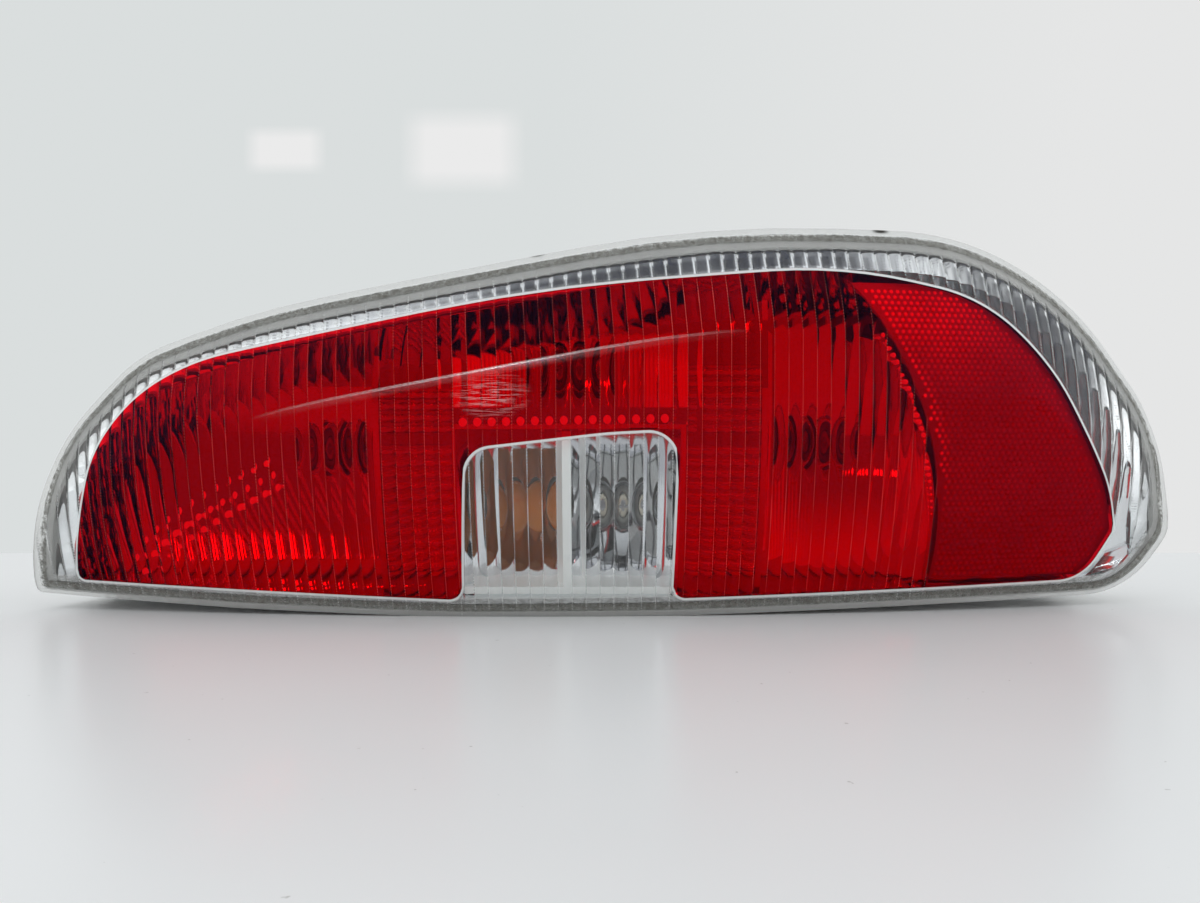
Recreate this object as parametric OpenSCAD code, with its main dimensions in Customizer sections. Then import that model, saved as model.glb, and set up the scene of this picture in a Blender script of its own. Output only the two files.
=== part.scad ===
/* [Lens] */
// Length of the lens over its two ends
lens_l = 540; // [510:1:570]
// Height of the lens above the edge it rests on
lens_h = 174; // [164:1:184]
// Wall of the lens
lens_t = 2.6; // [2.2:0.1:3.2]
// Radius of the plan curve of the lens
bow_r = 1020; // [900:10:1300]
// Place along the lens where the plan curve is furthest forward
bow_x = -30; // [-50:1:0]
// Height at which the face stops leaning back towards the lower edge
crest_z = 108; // [100:1:116]
// Radius of the lean of the face below the crest
lean_r = 196; // [170:2:240]
// Width of the shoulder that rolls back to the upper edge
shoulder_w = 47; // [38:1:54]
// Slope at which the shoulder leaves the crease
shoulder_slope = 0.12; // [0.08:0.01:0.2]
// Radius of the shoulder
shoulder_r = 80; // [72:1:120]
// Spacing of the upright flutes on the inner face
flute_pitch = 6.2; // [5.6:0.1:7]
// Depth of a flute
flute_d = 0.6; // [0.4:0.1:0.9]
// Width of the plain edge outside the flutes at the top and the ends
plain_edge_w = 10; // [8:0.5:12]
// Width of the plain edge along the bottom
plain_low_w = 2; // [1:0.5:3]
// Overhang of the lens outside the housing
overhang = 3.5; // [2.5:0.5:4.5]

/* [Clear window] */
// Left side of the window at its foot
window_x = -61.5; // [-66:0.5:-56]
// Width of the window
window_w = 94; // [88:1:100]
// Height of the window's top edge
window_h = 83; // [76:1:90]
// Fillet of the window's upper corners
window_corner = 13; // [10:1:18]
// Wall of the white frame
frame_t = 3.4; // [2.5:0.1:4]
// Place of the upright strip that parts the two window chambers
strip_x = -14.5; // [-20:0.5:-8]

/* [Reflex zone] */
// Radius of the border of the reflex zone
reflex_r = 171; // [168:0.5:175]
// Thickness of the reflex plate
reflex_t = 3; // [2.4:0.1:4]

/* [Reflector] */
// Depth of the reflector floor behind the front of the lens
floor_y = 70; // [68:0.5:73]
// Wall of the reflector
refl_t = 2; // [1.6:0.1:2.4]
// Width of the bright band behind the flutes of the clear edge
band_w = 9; // [7:0.5:9.5]
// Gap between the reflector's edges and the lens
lens_gap = 1.8; // [1.6:0.1:2.4]
// Depth of the bowls behind the floor
bowl_d = 16; // [13:0.5:17]
// Spacing of the half-round steps beside the window
step_pitch = 5.6; // [5:0.1:7]
// Left upright wall
wall_left_x = -97; // [-100:0.5:-94]
// Right upright wall
wall_right_x = 70; // [66:0.5:73]

/* [Housing] */
// Depth of the housing's back face behind the front of the lens
housing_y = 94; // [92:0.5:97]
// Wall of the housing
housing_t = 2.5; // [2:0.1:3]
// Width of the flange that the lens is welded to
flange_w = 7; // [5:0.2:7.2]
// Draft of the side wall at the ends and the top
draft = 14; // [10:0.5:16]
// Height of the housing's bottom above the edge it rests on
rest_gap = 1; // [0.6:0.1:2]
// Depth of the mounting plane behind the front of the lens
mount_y = 106; // [104:0.5:110]

/* [Bulbs] */
// Diameter of a bulb's glass
glass_d = 25; // [22:0.5:26]
// Diameter of a bulb's base
base_d = 15; // [14:0.1:16]
// Length of a bulb's base
base_l = 19; // [17:0.5:21]
// Clearance around a bulb's base
socket_clear = 0.3; // [0.2:0.05:0.5]
// Height of the tail bulb in the left bowl
tail_z = 76; // [70:1:80]
// Height of the two window bulbs
window_bulb_z = 48; // [45:1:52]
// Gap between the stop bulb's hole and the top wall of the reflector
stop_clear = 1.2; // [1:0.1:3]
// Height of the fog bulb in the right bowl
fog_z = 79; // [74:1:84]

/* [Bulb carrier] */
// Left end of the carrier plate
carrier_x = -155; // [-160:1:-152]
// Length of the carrier plate
carrier_l = 286; // [282:1:292]
// Height of the carrier plate's lower edge
carrier_z = 24; // [20:1:27]
// Height of the carrier plate at its right end
carrier_h = 109; // [107:1:111]
// Thickness of the carrier plate
carrier_t = 3; // [2.5:0.1:3.5]
// Width of the rim that seats on the gasket
seat_w = 5; // [4:0.5:5.5]
// Thickness of the gasket under the carrier
gasket_t = 2; // [1.5:0.1:2.5]
// Thickness of the contact strips
strip_t = 0.8; // [0.6:0.1:1]

/* [Connector] */
// Inside width of the connector socket
plug_w = 28; // [24:1:32]
// Inside height of the connector socket
plug_h = 12; // [10:0.5:14]
// Inside depth of the connector socket
plug_d = 15; // [13:0.5:18]
// Number of connector pins
pin_count = 6; // [4:1:6]

/* [Mounts] */
// Spacing of the two mounting studs
stud_span = 390; // [384:1:396]
// Height of the studs above the edge the lamp rests on
stud_z = 62; // [58:1:66]
// Diameter of a stud
stud_d = 6; // [5:1:8]
// Length of a stud behind the mounting plane
stud_l = 22; // [18:1:28]

/* [Hidden] */

// The drawn outline is 540 long and 174 high, and grows with the two driving sizes
grow_x = lens_l / 540;
grow_z = lens_h / 174;
function grown(list) = [for (c = list) [c[0] * grow_x, c[1] * grow_z, c[2]]];
// Places along and heights keep their share of the lens when it grows
bow_mid = bow_x * grow_x;
crest = crest_z * grow_z;
window_left = window_x * grow_x;
window_wide = window_w * grow_x;
window_top = window_h * grow_z;
strip_mid = strip_x * grow_x;
wall_left = wall_left_x * grow_x;
wall_right = wall_right_x * grow_x;
stud_high = stud_z * grow_z;
// Corners of the lens, each with its place along, its height and its fillet
lens_corners = grown([[-266.5, 8, 3.5], [-64, -2.5, 3000], [252, 6, 37], [274, 36, 15],
    [270.5, 85.5, 120], [221, 146, 150], [164.5, 174, 130], [48, 174.5, 650],
    [-153.5, 137, 500], [-210, 118, 68], [-245.5, 84.5, 120], [-258.5, 56.5, 200]]);
// The nose is the first corner of the upper edge
nose = 3;
window_end = window_left + window_wide;
window_foot_z = 8 * grow_z;
// Corners of the window, from its left foot to its right foot
window_corners = [[window_left, window_foot_z, 6.3], [window_left + 3.5, window_top - 7.5, window_corner],
    [window_left + 0.69 * window_wide, window_top - 0.5, 210], [window_end + 1.5, window_top + 1, window_corner],
    [window_end, window_foot_z + 0.5, 5.8]];
// Corners of the red part outside the window
red_corners = grown([[228.5, 14, 20], [241, 38, 0.5], [235.5, 57, 120], [202, 114, 160],
    [170, 142, 90], [106, 155, 250], [-28.5, 143.5, 870], [-187.5, 112.5, 120],
    [-225, 84, 90], [-239, 31, 150], [-242, 15, 3.4]]);
// Largest turn between two points of an arc
arc_turn = 9;
// Centre of the border of the reflex zone
reflex_x = -20 * grow_x;
reflex_z = 35 * grow_z;
border_r = reflex_r * grow_x;
// Gap between curved faces that lie on each other
seat_gap = 0.3;

function unit(v) = v / norm(v);
function smooth(t) = let (s = min(max(t, 0), 1)) s * s * (3 - 2 * s);
function xz(c) = [c[0], c[1]];
function before(list, i) = xz(list[(i + len(list) - 1) % len(list)]);
function after(list, i) = xz(list[(i + 1) % len(list)]);

// Turn of the outline at corner b between its neighbours a and c
function turn_at(a, b, c) = acos(unit(b - a) * unit(c - b));
// Points of one filleted corner; a fillet takes at most half of each edge beside it
function fillet(a, b, c, wanted_r, steps) =
    let (u = unit(a - b), w = unit(c - b), turn = turn_at(a, b, c), half = 90 - turn / 2)
    let (t = min(wanted_r / tan(half), 0.49 * norm(a - b), 0.49 * norm(c - b)), r = t * tan(half))
    let (p = b + u * t, mid = b + unit(u + w) * r / sin(half), side = sign(cross(b - a, c - b)))
    let (start = atan2(p[1] - mid[1], p[0] - mid[0]))
    [for (j = [0:steps]) let (t = start + side * turn * j / steps) mid + r * [cos(t), sin(t)]];
function corner_steps(list) = [for (i = [0:len(list) - 1])
    max(2, ceil(turn_at(before(list, i), xz(list[i]), after(list, i)) / arc_turn))];
// All points of a filleted outline, each with the number of its corner
function drawn(list, steps) = [for (i = [0:len(list) - 1])
    for (p = fillet(before(list, i), xz(list[i]), after(list, i), list[i][2], steps[i])) [p[0], p[1], i]];
function outline(list) = drawn(list, corner_steps(list));

// The outline's corners drawn in by a distance for each edge; edge i runs from corner i to the next
function drawn_in(list, gaps) = [for (i = [0:len(list) - 1])
    let (b = xz(list[i]), u = unit(before(list, i) - b), w = unit(after(list, i) - b))
    let (sine = abs(cross(u, w)), g1 = gaps[(i + len(list) - 1) % len(list)], g2 = gaps[i])
    let (p = b + (w * g1 + u * g2) / sine) [p[0], p[1], max(list[i][2] - (g1 + g2) / 2, 1)]];
function edge_gaps(top, low) = [for (i = [0:len(lens_corners) - 1]) i < nose ? low : top];
edge = outline(lens_corners);
// Loops drawn in from the lens have its number of points, so that walls can join them
longest_step = 22;
edge_splits = [for (i = [0:len(edge) - 1]) ceil(norm(after(edge, i) - xz(edge[i])) / longest_step)];
function split(loop) = [for (i = [0:len(loop) - 1]) for (k = [0:edge_splits[i] - 1])
    xz(loop[i]) + (after(loop, i) - xz(loop[i])) * k / edge_splits[i]];
function loop_of(corners, top, low) =
    split(drawn(drawn_in(corners, edge_gaps(top, low)), corner_steps(lens_corners)));
function inset(top, low) = loop_of(lens_corners, top, low);

optic = inset(plain_edge_w, plain_low_w);
joint = outline(concat(window_corners, red_corners));
// The edge from the nose over the top to the lower left corner
upper = concat([for (p = edge) if (p[2] >= nose) xz(p)], [xz(edge[0])]);

function seg_dist(p, a, b) =
    let (ab = b - a, t = min(max((p - a) * ab / (ab * ab), 0), 1)) norm(p - a - t * ab);
function edge_dist(p) = min([for (i = [0:len(upper) - 2]) seg_dist(p, upper[i], upper[i + 1])]);

// Depth of the front of the lens: a plan curve, a lean below the crest and a rolled shoulder
function bow(x) = pow(x - bow_mid, 2) / (2 * bow_r);
function lean(z) = pow(max(crest - z, 0), 2) / (2 * lean_r);
function roll(x, z) =
    let (d = max(shoulder_w - edge_dist([x, z]), 0))
    smooth((z - 15) / 80) * (shoulder_slope * d + d * d / (2 * shoulder_r));
function face_y(x, z) = bow(x) + lean(z) + roll(x, z);
function in_reflex(x, z) = x > 0 && norm([x - reflex_x, z - reflex_z]) > border_r;

// Heights at which an outline crosses the upright line at x, and its reach along
function crossings(list, x) = [for (i = [0:len(list) - 1]) let (a = list[i], b = after(list, i))
    if ((a[0] - x) * (b[0] - x) <= 0 && a[0] != b[0]) a[1] + (b[1] - a[1]) * (x - a[0]) / (b[0] - a[0])];
function crosses(list, x) = len(crossings(list, x)) > 1;
left_edge = min([for (p = edge) p[0]]);
right_edge = max([for (p = edge) p[0]]);

// The lens is drawn on one grid of upright columns, two for each flute, that all sheets share
end_trim = 0.5;
half_flute = flute_pitch / 2;
col_first = ceil((left_edge + end_trim + 1) / half_flute);
col_last = floor((right_edge - end_trim - 1) / half_flute);
cols = concat([left_edge + end_trim], [for (k = [col_first:col_last]) k * half_flute], [right_edge - end_trim]);
col_n = len(cols);
function is_groove(i) = (col_first + i) % 2 == 0;
function near_col(x) = let (gaps = [for (c = cols) abs(c - x)]) search(min(gaps), gaps)[0];
window_col0 = near_col(window_left + 1.7);
window_col1 = near_col(window_end + 0.7);
function on_window(i) = i > window_col0 && i < window_col1;

// Rows of a column: edge, joint, three below and three above the window line, joint, border, edge
red_row0 = 1;
window_row = 4;
red_row1 = 7;
row_last = 10;
window_line = (window_top + window_foot_z) / 2;
border_w = 0.6;
// Outside the red part its rows go on at the same shares of the height
joint_left = min([for (p = joint) p[0]]) + 1;
joint_right = max([for (p = joint) p[0]]) - 1;
function shares(x) =
    let (e = crossings(edge, x), r = crossings(joint, x), low = min(e), tall = max(e) - low)
    [(min(r) - low) / tall, (max(r) - low) / tall];
left_shares = shares(joint_left);
right_shares = shares(joint_right);
function column(i) =
    let (x = cols[i], e = crossings(edge, x), low = min(e), high = max(e), tall = high - low)
    let (share = x < 0 ? left_shares : right_shares)
    let (r = crosses(joint, x) ? crossings(joint, x) : [low + share[0] * tall, low + share[1] * tall])
    let (o = crosses(optic, x) ? max(crossings(optic, x)) : high - 0.2 * tall)
    let (border = max(o, max(r) + 0.5 * (high - max(r))))
    let (z1 = on_window(i) ? window_foot_z + 1 : i == window_col0 || i == window_col1 ? window_foot_z + 6 : min(r))
    let (z4 = on_window(i) ? min(r) : i == window_col0 || i == window_col1 ? window_top - 21
        : z1 + (max(r) - z1) * 0.45)
    let (over = z4 + max(0, min(window_top + 1 - z4, 0.25 * (max(r) - z4))), rest = max(r) - over)
    [low, z1, z1 + (z4 - z1) / 3, z1 + (z4 - z1) * 2 / 3, z4, over + rest / 3,
        over + rest * 2 / 3, max(r), border, border + border_w * (high - border) / 10, high];
function side_x(i, z) =
    i == window_col0 ? window_left + 3.5 * (z - window_foot_z) / (window_top - 7.5 - window_foot_z)
    : i == window_col1 ? window_end + 1.5 * (z - window_foot_z) / (window_top + 1 - window_foot_z) : cols[i];
grid_xz = [for (i = [0:col_n - 1]) let (zs = column(i))
    [for (j = [0:row_last]) let (z = zs[j])
        [j >= red_row0 && j <= window_row ? side_x(i, z) : cols[i], z]]];
grid_y = [for (c = grid_xz) [for (p = c) face_y(p[0], p[1])]];
// Depth of the front of the sheet itself, whose flat cells lie a little behind the true face
function sheet_y(x, z) =
    let (i = max([for (k = [0:col_n - 2]) if (cols[k] <= x || k == 0) k]))
    let (t = (x - cols[i]) / (cols[i + 1] - cols[i]))
    let (a = grid_xz[i], b = grid_xz[i + 1], ya = grid_y[i], yb = grid_y[i + 1])
    lookup(z, [for (j = [0:row_last]) each concat(
        [[a[j][1] + (b[j][1] - a[j][1]) * t, ya[j] + (yb[j] - ya[j]) * t]],
        j == row_last ? [] : [[a[j][1] + (b[j + 1][1] - a[j][1]) * t, ya[j] + (yb[j + 1] - ya[j]) * t]])]);
function groove(i, j) =
    let (p = grid_xz[i][j])
    is_groove(i) && i > 1 && i < col_n - 2 && j >= red_row0 && j < row_last - 1 && !in_reflex(p[0], p[1])
        ? flute_d : 0;

// Which cells of the grid are red: between the joints, outside the window
red_cols = [for (i = [0:col_n - 1]) if (crosses(joint, cols[i])) i];
function is_red(i, j) =
    i >= min(red_cols) && i < max(red_cols) && j >= red_row0 && j < red_row1
        && !(i >= window_col0 && i < window_col1 && j < window_row);

// A closed sheet made of the cells of one colour, with a smooth front and a fluted back
module lens_sheet(red) {
    rows = row_last + 1;
    n = col_n * rows;
    function cell(i, j) = i * rows + j;
    function has(i, j) =
        i >= 0 && i < col_n - 1 && j >= 0 && j < row_last && is_red(i, j) == red;
    function wall(a, b) = [[a, b, b + n], [a, b + n, a + n]];
    points = [for (k = [0, 1]) for (i = [0:col_n - 1]) for (j = [0:row_last])
        let (p = grid_xz[i][j]) [p[0], grid_y[i][j] + k * (lens_t - groove(i, j)), p[1]]];
    faces = [for (i = [0:col_n - 2]) for (j = [0:row_last - 1]) if (has(i, j))
        let (a = cell(i, j), b = cell(i + 1, j), c = cell(i + 1, j + 1), d = cell(i, j + 1))
        each concat([[a, d, c], [a, c, b], [a + n, c + n, d + n], [a + n, b + n, c + n]],
            has(i - 1, j) ? [] : wall(d, a), has(i + 1, j) ? [] : wall(b, c),
            has(i, j - 1) ? [] : wall(a, b), has(i, j + 1) ? [] : wall(c, d))];
    polyhedron(points, faces);
}

// Solids made of closed rings of points
function ring_quads(a, b, n) = [for (i = [0:n - 1]) let (j = (i + 1) % n)
    each [[a * n + i, a * n + j, b * n + j], [a * n + i, b * n + j, b * n + i]]];
// The same with the other diagonal, so that an inner wall lies parallel to its outer wall
function back_quads(a, b, n) = [for (i = [0:n - 1]) let (j = (i + 1) % n)
    each [[a * n + i, a * n + j, b * n + i], [a * n + j, b * n + j, b * n + i]]];
function lifted(loop, back) = [for (p = loop) [p[0], sheet_y(p[0], p[1]) + back, p[1]]];
function at_depth(loop, y) = [for (p = loop) [p[0], y, p[1]]];
// The housing's rear outline is drawn in by the draft, and is nearly straight where the lamp rests
low_band = 7 * grow_z;
low_bend = 1.2;
rear_shrink = 1 - 2 * draft * grow_x / lens_l;
rear_rise = (lens_h - 1.5 * draft * grow_z - rest_gap) / (lens_h - low_band);
rear_corners = [for (i = [0:len(lens_corners) - 1]) let (c = lens_corners[i])
    [c[0] * rear_shrink, rest_gap + (i == 1 ? 0 : i < nose ? low_bend : (c[1] - low_band) * rear_rise), c[2]]];
function rear(top, low) = loop_of(rear_corners, top, low);
// A tray: a wall with a lip along the lens runs back to a closed floor
module tray(lip_out, floor_out, floor_in, wall_in, lip_in, gap, t, back_out, back_in) {
    n = len(lip_out);
    polyhedron(concat(lifted(lip_out, lens_t + gap), at_depth(floor_out, back_out), at_depth(floor_in, back_in),
            lifted(wall_in, lens_t + gap + t), lifted(lip_in, lens_t + gap + t), lifted(lip_in, lens_t + gap)),
        concat(ring_quads(0, 1, n), back_quads(2, 3, n), ring_quads(3, 4, n), ring_quads(4, 5, n),
            ring_quads(5, 0, n), [[for (i = [0:n - 1]) n + i], [for (i = [n - 1:-1:0]) 2 * n + i]]));
}

// A shape drawn along and up, extruded from one depth to another
module slab(y0, y1) {
    translate([0, y1, 0]) rotate([90, 0, 0]) linear_extrude(y1 - y0) children();
}
module in_place() {
    translate([0, -mount_y, -stud_high]) children();
}
module rod(x, z, y0, y1, r) {
    translate([x, y1, z]) rotate([90, 0, 0]) cylinder(r = r, h = y1 - y0, $fn = 48);
}

module lens_clear() {
    color([0.93, 0.95, 0.95, 0.6]) in_place() lens_sheet(false);
}
module lens_red() {
    color([0.72, 0.02, 0.03, 0.8]) in_place() lens_sheet(true);
}

// The prism plate lies close behind the red lens, from the reflex border to the joint
reflex_rows = 20;
reflex_cols = 8;
reflex_gap = 0.5;
module reflex_reflector() {
    low_z = 17 * grow_z;
    high_z = 148 * grow_z;
    zs = [for (j = [0:reflex_rows]) low_z + (high_z - low_z) * j / reflex_rows];
    function border_x(z) = reflex_x + sqrt(pow(border_r + 1, 2) - pow(z - reflex_z, 2));
    function joint_x(z) = max([for (i = [0:len(joint) - 1]) let (a = joint[i], b = after(joint, i))
        if ((a[1] - z) * (b[1] - z) <= 0 && a[1] != b[1]) a[0] + (b[0] - a[0]) * (z - a[1]) / (b[1] - a[1])]) - 1;
    n = (reflex_rows + 1) * (reflex_cols + 1);
    spots = [for (z = zs) for (i = [0:reflex_cols]) [border_x(z) + (joint_x(z) - border_x(z)) * i / reflex_cols, z]];
    points = [for (k = [0, 1]) for (p = spots)
        [p[0], sheet_y(p[0], p[1]) + lens_t + reflex_gap + k * reflex_t, p[1]]];
    function cell(i, j) = j * (reflex_cols + 1) + i;
    function wall(a, b) = [[a, b, b + n], [a, b + n, a + n]];
    faces = [for (i = [0:reflex_cols - 1]) for (j = [0:reflex_rows - 1])
        let (a = cell(i, j), b = cell(i + 1, j), c = cell(i + 1, j + 1), d = cell(i, j + 1))
        each concat([[a, d, c], [a, c, b], [a + n, c + n, d + n], [a + n, b + n, c + n]],
            i > 0 ? [] : wall(d, a), i < reflex_cols - 1 ? [] : wall(b, c),
            j > 0 ? [] : wall(a, b), j < reflex_rows - 1 ? [] : wall(c, d))];
    color([0.6, 0.02, 0.03]) in_place() polyhedron(points, faces);
}

// The reflector stands in from the edge of the lens, at the top and the ends and along the bottom
band_top = plain_edge_w + 1.2;
band_low = 6.6;
floor_top = band_top;
socket_wall = 2.6;
socket_r = base_d / 2 + socket_clear + socket_wall;
bulb_hole_r = max(glass_d / 2, socket_r) + 1.2;

// Bulbs: place along and height, then the bowl round each from x to x and from z to z
function bulb_at(x, z, x0, x1, z0, z1) = [x, z * grow_z, x0, x1, z0 * grow_z, z1 * grow_z];
tail_bulb = bulb_at(-130 * grow_x, tail_z, -222 * grow_x, wall_left - 4, 22, 106);
stop_x = -13 * grow_x;
stop_z = max(crossings(rear(floor_top + refl_t, band_low + refl_t), stop_x)) - bulb_hole_r - stop_clear;
stop_bulb = bulb_at(stop_x, stop_z / grow_z, -70 * grow_x, 44 * grow_x, 96, 132);
indicator_bulb = bulb_at(-34 * grow_x, window_bulb_z, window_left + 4, strip_mid - 2.5, 16, 76);
reverse_bulb = bulb_at(9 * grow_x, window_bulb_z, strip_mid + 2.5, window_end - 3, 16, 78);
// The fog bulb stands midway between the right wall and the wall along the reflex border
function ring_x(z) = reflex_x + sqrt(pow(border_r - 1, 2) - pow(z - reflex_z, 2));
fog_x = (wall_right + refl_t + ring_x(fog_z * grow_z)) / 2;
fog_bulb = bulb_at(fog_x, fog_z, wall_right + 6, reflex_x + border_r - 7, 18, 136);
bulbs = [tail_bulb, stop_bulb, indicator_bulb, reverse_bulb, fog_bulb];

// A bowl is part of a sphere, deepest behind its bulb and cut off square at its four sides
function bowl_reach(b) = max(b[0] - b[2], b[3] - b[0], b[1] - b[4], b[5] - b[1]);
function bowl_r(b) = (pow(bowl_reach(b), 2) + pow(bowl_d, 2)) / (2 * bowl_d);
module bowl(b, more, y0) {
    intersection() {
        translate([b[0], floor_y + bowl_d - bowl_r(b), b[1]]) sphere(bowl_r(b) + more, $fn = 48);
        translate([b[2] - more, y0, b[4] - more])
            cube([b[3] - b[2] + 2 * more, far_y - y0, b[5] - b[4] + 2 * more]);
    }
}
far_y = 160;
// The space in front of the reflector's walls, up to the lens, between two places along
module lens_space(x0, x1) {
    steps = 12;
    zs = [for (j = [-1:steps + 1]) lens_h * j / steps];
    translate([x0, 0, 0]) rotate([90, 0, 90]) linear_extrude(x1 - x0)
        polygon(concat([[-50, zs[0]]],
            [for (z = zs) [max(face_y(x0, z), face_y(x1, z)) + lens_t + lens_gap, z]],
            [[-50, zs[steps + 2]]]));
}
module chamber_wall(x0, x1, back) {
    difference() {
        slab(0, back) children();
        lens_space(x0 - 1, x1 + 1);
    }
}
step_r = 0.56 * step_pitch;
step_low = 16 * grow_z;
module reflector() {
    back = floor_y + refl_t;
    band_out = inset(band_top, band_low);
    band_in = inset(band_top + refl_t, band_low + refl_t);
    band_lip = inset(band_top + band_w, band_low + low_band_w);
    floor_out = rear(floor_top, band_low);
    floor_in = rear(floor_top + refl_t, band_low + refl_t);
    function wall_low(x) = max(min(crossings(floor_in, x)), min(crossings(band_in, x))) - 0.5;
    function wall_top(x) = min(max(crossings(floor_in, x)), max(crossings(band_in, x))) + 0.5;
    reflex_top = wall_top(reflex_x + border_r - 20) - 14 * grow_z;
    color([0.8, 0.81, 0.83]) in_place() difference() {
        union() {
            tray(band_out, floor_out, floor_in, band_in, band_lip, lens_gap, refl_t, back, floor_y);
            chamber_wall(wall_left, wall_left + refl_t, back - 0.5)
                upright(wall_left, wall_low(wall_left), wall_top(wall_left));
            chamber_wall(wall_right, wall_right + refl_t, back - 0.5)
                upright(wall_right, wall_low(wall_right), wall_top(wall_right));
            chamber_wall(window_left - refl_t, window_left, back - 0.5)
                upright(window_left - refl_t, wall_low(window_left), window_top + 1.5);
            chamber_wall(window_end + 2, window_end + 2 + refl_t, back - 0.5)
                upright(window_end + 2, wall_low(window_end), window_top + 1.5);
            chamber_wall(window_left - refl_t, window_end + 2 + refl_t, back - 0.5)
                translate([window_left - refl_t, window_top + 1]) square([window_wide + 2 + 2 * refl_t, refl_t]);
            chamber_wall(ring_x(reflex_top) - refl_t, reflex_x + border_r, back - 0.5)
                reflex_wall(wall_low(reflex_x + border_r), reflex_top);
            steps(wall_left + refl_t / 2, window_left - refl_t / 2, step_low, window_top);
            steps(wall_left + refl_t / 2, stop_bulb[2] + refl_t, window_top, 106 * grow_z);
            steps(window_end + 2 + refl_t / 2, wall_right + refl_t / 2, step_low, window_top);
            steps(stop_bulb[3], wall_right + refl_t / 2, window_top, 122 * grow_z);
            intersection() {
                for (b = bulbs) bowl(b, refl_t, floor_y + refl_t / 2);
                slab(floor_y, housing_y) polygon([for (p = rear(floor_top, band_low)) xz(p)]);
            }
        }
        intersection() {
            for (b = bulbs) bowl(b, 0, floor_y - 1);
            slab(floor_y - 2, housing_y) polygon([for (p = rear(floor_top + refl_t, band_low + refl_t)) xz(p)]);
        }
        for (b = bulbs) rod(b[0], b[1], floor_y + 1, far_y, bulb_hole_r);
    }
}
module upright(x, z0, z1) {
    translate([x, z0]) square([refl_t, z1 - z0]);
}
// Half-round steps lie across a chamber, one above the other
module steps(x0, x1, z0, z1) {
    for (k = [1:floor((z1 - z0) / step_pitch)])
        translate([x0, floor_y + 1, z0 + (k - 0.5) * step_pitch]) rotate([0, 90, 0])
            cylinder(r = step_r, h = x1 - x0, $fn = 32);
}
// The wall along the reflex border is part of a ring
module reflex_wall(z0, z1) {
    intersection() {
        translate([reflex_x, reflex_z]) difference() {
            circle(r = border_r - 1, $fn = 180);
            circle(r = border_r - 1 - refl_t, $fn = 180);
        }
        translate([reflex_x + border_r / 2, z0]) square([border_r, z1 - z0]);
    }
}

// White frame of the window: a shelf along the bottom and a strip between the chambers
shelf_z = rest_gap + band_low + refl_t + 1;
module window_frame() {
    color([0.92, 0.92, 0.9]) in_place() difference() {
        slab(0, floor_y - seat_gap) {
            translate([window_left + 1, shelf_z]) square([window_wide - 1, frame_t]);
            translate([strip_mid - frame_t / 2, shelf_z]) square([frame_t, window_top - shelf_z]);
        }
        lens_space(window_left, window_end + 1);
    }
}

carrier_left = carrier_x * grow_x;
carrier_end = carrier_left + carrier_l * grow_x;
carrier_low = carrier_z * grow_z;
carrier_top = carrier_low + carrier_h * grow_z;
carrier_y = housing_y + gasket_t;
carrier_back = carrier_y + carrier_t;
// The plate is lower at its left end, as the lamp is
carrier_corners = [[carrier_left, carrier_low, 12], [carrier_end, carrier_low, 12], [carrier_end, carrier_top, 12],
    [carrier_left + 135 * grow_x, carrier_top, 30], [carrier_left, carrier_top - 36 * grow_z, 12]];
function even(g) = [for (c = carrier_corners) g];
module carrier_shape(more) {
    polygon([for (p = outline(drawn_in(carrier_corners, even(-more)))) xz(p)]);
}

stud_xs = [-stud_span * grow_x / 2, stud_span * grow_x / 2];
// Gap of the weld line between the flange and the lens
weld_gap = 0.7;
// Width of the reflector's lip along the bottom
low_band_w = 2.6;
// The part of a stud that sits in its boss is thicker than the thread
shank_r = stud_d / 2 + 1.4;
collar_r = 8;
collar_h = 3;
boss_r = 12;
boss_y = mount_y - collar_h;
stud_depth = 12;
rib_t = 2;
rib_l = 9;
peg_spots = grown([[204, 98], [-176, 18]]);
vent_spots = grown([[152, 126], [-222, 40]]);
vent_r = 8;
latch_zs = [carrier_low + 16 * grow_z, carrier_top - 54 * grow_z];
latch_w = 10;
module housing() {
    back_in = housing_y - housing_t;
    flange_out = inset(overhang, plain_low_w);
    wall_in = inset(overhang + housing_t, plain_low_w + housing_t);
    flange_in = inset(overhang + flange_w, plain_low_w + housing_t + 0.3);
    color([0.5, 0.5, 0.5]) in_place() difference() {
        union() {
            tray(flange_out, rear(0, 0), rear(housing_t, housing_t), wall_in, flange_in, weld_gap, housing_t,
                housing_y, back_in);
            for (x = stud_xs) stud_boss(x, back_in + 1);
            for (p = peg_spots) peg(p, back_in + 1);
            for (z = latch_zs) {
                catch_block(carrier_left - 11, z, back_in + 1);
                catch_block(carrier_end + 5, z, back_in + 1);
            }
        }
        slab(back_in - 1, housing_y + 1) carrier_shape(-seat_w);
        for (x = stud_xs) rod(x, stud_high, boss_y - stud_depth - 0.5, boss_y + 1, shank_r + seat_gap);
        for (v = vent_spots) rod(v[0], v[1], back_in - 1, housing_y + 1, vent_r - 3);
    }
}
// A boss with six ribs carries each stud
module stud_boss(x, y0) {
    rod(x, stud_high, boss_y - stud_depth - housing_t, boss_y, boss_r);
    for (t = [0:60:300]) translate([x, 0, stud_high]) rotate([0, t, 0])
        translate([boss_r - 1, y0, -rib_t / 2]) cube([rib_l, housing_y + 5 - y0, rib_t]);
}
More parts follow.
